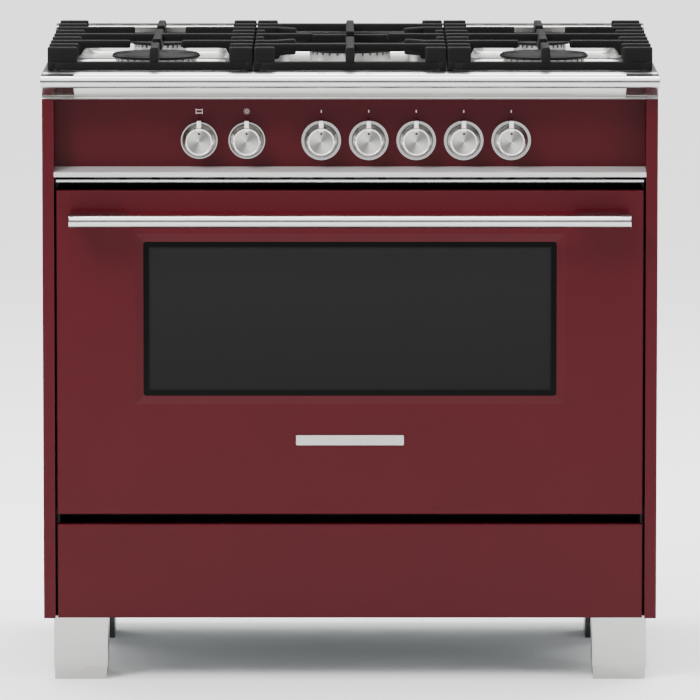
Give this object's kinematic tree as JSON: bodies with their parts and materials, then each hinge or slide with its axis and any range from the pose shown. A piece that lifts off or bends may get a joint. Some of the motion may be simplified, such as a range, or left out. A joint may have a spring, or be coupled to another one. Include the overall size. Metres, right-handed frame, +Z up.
{
  "type": "freestanding gas range",
  "caption": "Freestanding gas range: sealed burners under cast-iron grates, front knobs, drop-down oven door with window, storage drawer, racks and convection fan.",
  "frame": {"origin": "on the floor, under the middle of the overall box", "axes": "+X to the right as the cook faces the range, +Y from the front to the back, +Z up"},
  "size_m": [0.912, 0.718, 0.9446],
  "materials": {
    "red_enamel": "gloss enamel",
    "black_enamel": "satin enamel",
    "cavity_enamel": "speckled gloss enamel",
    "stainless": "brushed",
    "polished_steel": "polished",
    "galvanised": "zinc coated",
    "cast_iron": "matte enamel",
    "cap_enamel": "matte enamel",
    "aluminium": "cast",
    "oven_glass": "tinted, clear",
    "lamp_glass": "frosted",
    "brass": "machined",
    "gas_pipe": "zinc plated",
    "rubber": "matte",
    "gasket": "woven",
    "ceramic": "white ceramic",
    "foot_steel": "satin grey"
  },
  "bodies": {
    "cabinet": {"left_side_panel": "red_enamel", "right_side_panel": "red_enamel", "base_pan": "galvanised", "back_panel": "galvanised", "front_frame": "black_enamel", "cooktop_deck": "stainless", "rear_vent_trim": "stainless", "front_rail": "polished_steel", "front_rail_brackets": "polished_steel", "control_panel": "red_enamel", "control_ledge": "stainless", "vent_trim": "stainless", "knob_bezels": "polished_steel", "front_leg_sleeves": "stainless", "levelling_feet": "foot_steel", "oven_liner": "cavity_enamel", "oven_floor_plate": "cavity_enamel", "bake_burner": "galvanised", "broil_burner": "galvanised", "fan_cover": "cavity_enamel", "fan_motor": "galvanised", "oven_lamp": "lamp_glass", "burner_bases": "aluminium", "burner_caps": "cap_enamel", "spark_electrodes": "ceramic", "gas_manifold": "gas_pipe", "valves_and_switch": "brass", "gas_inlet": "gas_pipe", "power_inlet": "rubber", "door_gasket": "gasket", "hinge_receivers": "black_enamel", "drawer_rails": "galvanised"},
    "door": {"door_skin": "red_enamel", "door_inner_panel": "black_enamel", "door_glass": "oven_glass", "door_handle_bar": "polished_steel", "door_handle_brackets": "polished_steel", "door_hinges": "galvanised", "door_badge": "stainless"},
    "drawer": {"drawer_front": "red_enamel", "drawer_box": "galvanised"},
    "lower_rack": {"lower_rack": "polished_steel"},
    "upper_rack": {"upper_rack": "polished_steel"},
    "convection_fan": {"convection_fan": "galvanised"},
    "left_grate": {"left_grate": "cast_iron"},
    "centre_grate": {"centre_grate": "cast_iron"},
    "right_grate": {"right_grate": "cast_iron"},
    "oven_stem": {"oven_stem": "brass"},
    "oven_knob": {"oven_knob": "stainless"},
    "light_fan_knob": {"light_fan_knob": "stainless"},
    "burner_stem_1": {"burner_stem_1": "brass"},
    "burner_knob_1": {"burner_knob_1": "stainless"},
    "burner_stem_2": {"burner_stem_2": "brass"},
    "burner_knob_2": {"burner_knob_2": "stainless"},
    "burner_stem_3": {"burner_stem_3": "brass"},
    "burner_knob_3": {"burner_knob_3": "stainless"},
    "burner_stem_4": {"burner_stem_4": "brass"},
    "burner_knob_4": {"burner_knob_4": "stainless"},
    "burner_stem_5": {"burner_stem_5": "brass"},
    "burner_knob_5": {"burner_knob_5": "stainless"}
  },
  "joints": [
    {"name": "door_hinge", "type": "hinge", "parent": "cabinet", "child": "door", "pos_m": [0, -0.273, 0.258], "axis": [1, 0, 0], "range_deg": [0, 90], "stiffness_Nm_per_rad": 20, "springref_deg": -8.59},
    {"name": "drawer_slide", "type": "slide", "parent": "cabinet", "child": "drawer", "axis": [0, -1, 0], "range_m": [0, 0.38]},
    {"name": "lower_rack_slide", "type": "slide", "parent": "cabinet", "child": "lower_rack", "axis": [0, -1, 0], "range_m": [0, 0.024]},
    {"name": "upper_rack_slide", "type": "slide", "parent": "cabinet", "child": "upper_rack", "axis": [0, -1, 0], "range_m": [0, 0.024]},
    {"name": "fan_spin", "type": "hinge", "parent": "cabinet", "child": "convection_fan", "pos_m": [0, 0.24, 0.505], "axis": [0, 1, 0], "continuous": true},
    {"name": "left_grate_lift", "type": "slide", "parent": "cabinet", "child": "left_grate", "axis": [0, 0, 1], "range_m": [0, 0.06]},
    {"name": "centre_grate_lift", "type": "slide", "parent": "cabinet", "child": "centre_grate", "axis": [0, 0, 1], "range_m": [0, 0.06]},
    {"name": "right_grate_lift", "type": "slide", "parent": "cabinet", "child": "right_grate", "axis": [0, 0, 1], "range_m": [0, 0.06]},
    {"name": "oven_stem_push", "type": "slide", "parent": "cabinet", "child": "oven_stem", "axis": [0, 1, 0], "range_m": [0, 0.003], "stiffness_N_per_m": 900, "springref_m": -0.002},
    {"name": "oven_knob_turn", "type": "hinge", "parent": "oven_stem", "child": "oven_knob", "pos_m": [-0.2236, -0.251, 0.805], "axis": [0, 1, 0], "range_deg": [0, 280]},
    {"name": "light_fan_knob_turn", "type": "hinge", "parent": "cabinet", "child": "light_fan_knob", "pos_m": [-0.153, -0.251, 0.805], "axis": [0, 1, 0], "range_deg": [-60, 60]},
    {"name": "burner_stem_1_push", "type": "slide", "parent": "cabinet", "child": "burner_stem_1", "axis": [0, 1, 0], "range_m": [0, 0.003], "stiffness_N_per_m": 900, "springref_m": -0.002},
    {"name": "burner_knob_1_turn", "type": "hinge", "parent": "burner_stem_1", "child": "burner_knob_1", "pos_m": [-0.0426, -0.251, 0.805], "axis": [0, -1, 0], "range_deg": [0, 230]},
    {"name": "burner_stem_2_push", "type": "slide", "parent": "cabinet", "child": "burner_stem_2", "axis": [0, 1, 0], "range_m": [0, 0.003], "stiffness_N_per_m": 900, "springref_m": -0.002},
    {"name": "burner_knob_2_turn", "type": "hinge", "parent": "burner_stem_2", "child": "burner_knob_2", "pos_m": [0.0278, -0.251, 0.805], "axis": [0, -1, 0], "range_deg": [0, 230]},
    {"name": "burner_stem_3_push", "type": "slide", "parent": "cabinet", "child": "burner_stem_3", "axis": [0, 1, 0], "range_m": [0, 0.003], "stiffness_N_per_m": 900, "springref_m": -0.002},
    {"name": "burner_knob_3_turn", "type": "hinge", "parent": "burner_stem_3", "child": "burner_knob_3", "pos_m": [0.0982, -0.251, 0.805], "axis": [0, -1, 0], "range_deg": [0, 230]},
    {"name": "burner_stem_4_push", "type": "slide", "parent": "cabinet", "child": "burner_stem_4", "axis": [0, 1, 0], "range_m": [0, 0.003], "stiffness_N_per_m": 900, "springref_m": -0.002},
    {"name": "burner_knob_4_turn", "type": "hinge", "parent": "burner_stem_4", "child": "burner_knob_4", "pos_m": [0.1686, -0.251, 0.805], "axis": [0, -1, 0], "range_deg": [0, 230]},
    {"name": "burner_stem_5_push", "type": "slide", "parent": "cabinet", "child": "burner_stem_5", "axis": [0, 1, 0], "range_m": [0, 0.003], "stiffness_N_per_m": 900, "springref_m": -0.002},
    {"name": "burner_knob_5_turn", "type": "hinge", "parent": "burner_stem_5", "child": "burner_knob_5", "pos_m": [0.239, -0.251, 0.805], "axis": [0, -1, 0], "range_deg": [0, 230]}
  ]
}
